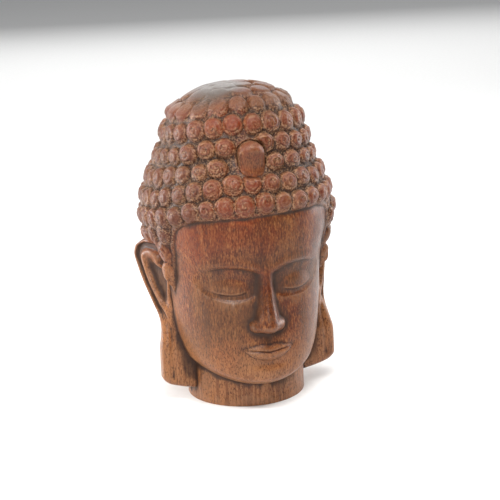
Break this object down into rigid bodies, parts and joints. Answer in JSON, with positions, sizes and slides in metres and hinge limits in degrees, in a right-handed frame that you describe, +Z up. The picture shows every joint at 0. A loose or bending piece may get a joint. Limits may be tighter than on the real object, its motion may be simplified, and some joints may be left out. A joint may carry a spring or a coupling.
{
  "type": "carved wooden buddha head",
  "caption": "Carved hardwood head with rows of snail-shell curls, lowered eyes and long ear lobes, on a short round neck sawn flat below.",
  "frame": {"origin": "middle of the neck's flat sawn underside", "axes": "+Z up through the crown, -Y the way the face looks, +X towards the head's own left ear"},
  "size_m": [0.1296, 0.1402, 0.1999],
  "materials": {
    "oiled_hardwood": "satin oiled hardwood, reddish brown, with dark pores and grey-brown dust in the carving"
  },
  "bodies": {
    "root": {"carved_head": "oiled_hardwood"}
  },
  "joints": []
}
